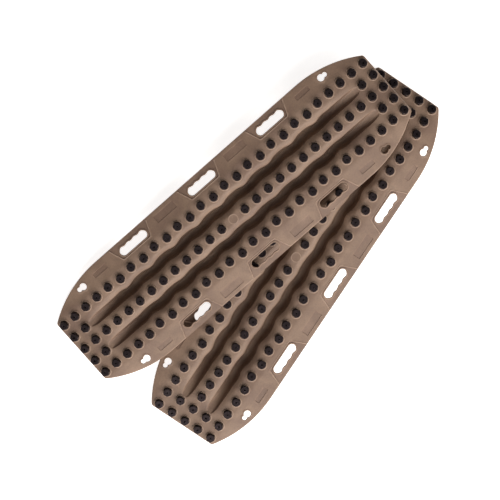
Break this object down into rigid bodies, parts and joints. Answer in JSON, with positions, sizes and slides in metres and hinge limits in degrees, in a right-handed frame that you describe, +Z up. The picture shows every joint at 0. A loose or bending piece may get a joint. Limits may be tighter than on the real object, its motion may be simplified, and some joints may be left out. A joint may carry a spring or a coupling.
{
  "type": "vehicle traction board pair",
  "caption": "Pair of moulded vehicle traction boards with bolted metal teeth, hand slots and pin holes, the upper one lying across the lower.",
  "frame": {"origin": "middle of the pair's footprint, on the floor", "axes": "+X along the lower board, +Z up"},
  "size_m": [1.166, 0.6426, 0.1438],
  "materials": {
    "sand_nylon": "glass-reinforced nylon, moulded, fine texture",
    "tooth_alloy": "hard-anodised, dark",
    "washer_steel": "stainless, stamped",
    "nut_steel": "stainless, turned"
  },
  "bodies": {
    "lower": {"lower_board": "sand_nylon", "lower_teeth_left": "tooth_alloy", "lower_teeth_centre": "tooth_alloy", "lower_teeth_right": "tooth_alloy", "lower_teeth_nose_a": "tooth_alloy", "lower_teeth_nose_b": "tooth_alloy", "lower_washers_left": "washer_steel", "lower_washers_centre": "washer_steel", "lower_washers_right": "washer_steel", "lower_washers_nose_a": "washer_steel", "lower_washers_nose_b": "washer_steel", "lower_nuts_left": "nut_steel", "lower_nuts_centre": "nut_steel", "lower_nuts_right": "nut_steel", "lower_nuts_nose_a": "nut_steel", "lower_nuts_nose_b": "nut_steel"},
    "upper": {"upper_board": "sand_nylon", "upper_teeth_left": "tooth_alloy", "upper_teeth_centre": "tooth_alloy", "upper_teeth_right": "tooth_alloy", "upper_teeth_nose_a": "tooth_alloy", "upper_teeth_nose_b": "tooth_alloy", "upper_washers_left": "washer_steel", "upper_washers_centre": "washer_steel", "upper_washers_right": "washer_steel", "upper_washers_nose_a": "washer_steel", "upper_washers_nose_b": "washer_steel", "upper_nuts_left": "nut_steel", "upper_nuts_centre": "nut_steel", "upper_nuts_right": "nut_steel", "upper_nuts_nose_a": "nut_steel", "upper_nuts_nose_b": "nut_steel"}
  },
  "joints": [
    {"name": "upper_board_lift", "type": "slide", "parent": "lower", "child": "upper", "axis": [0, 0, 1], "range_m": [0, 0.3]}
  ]
}
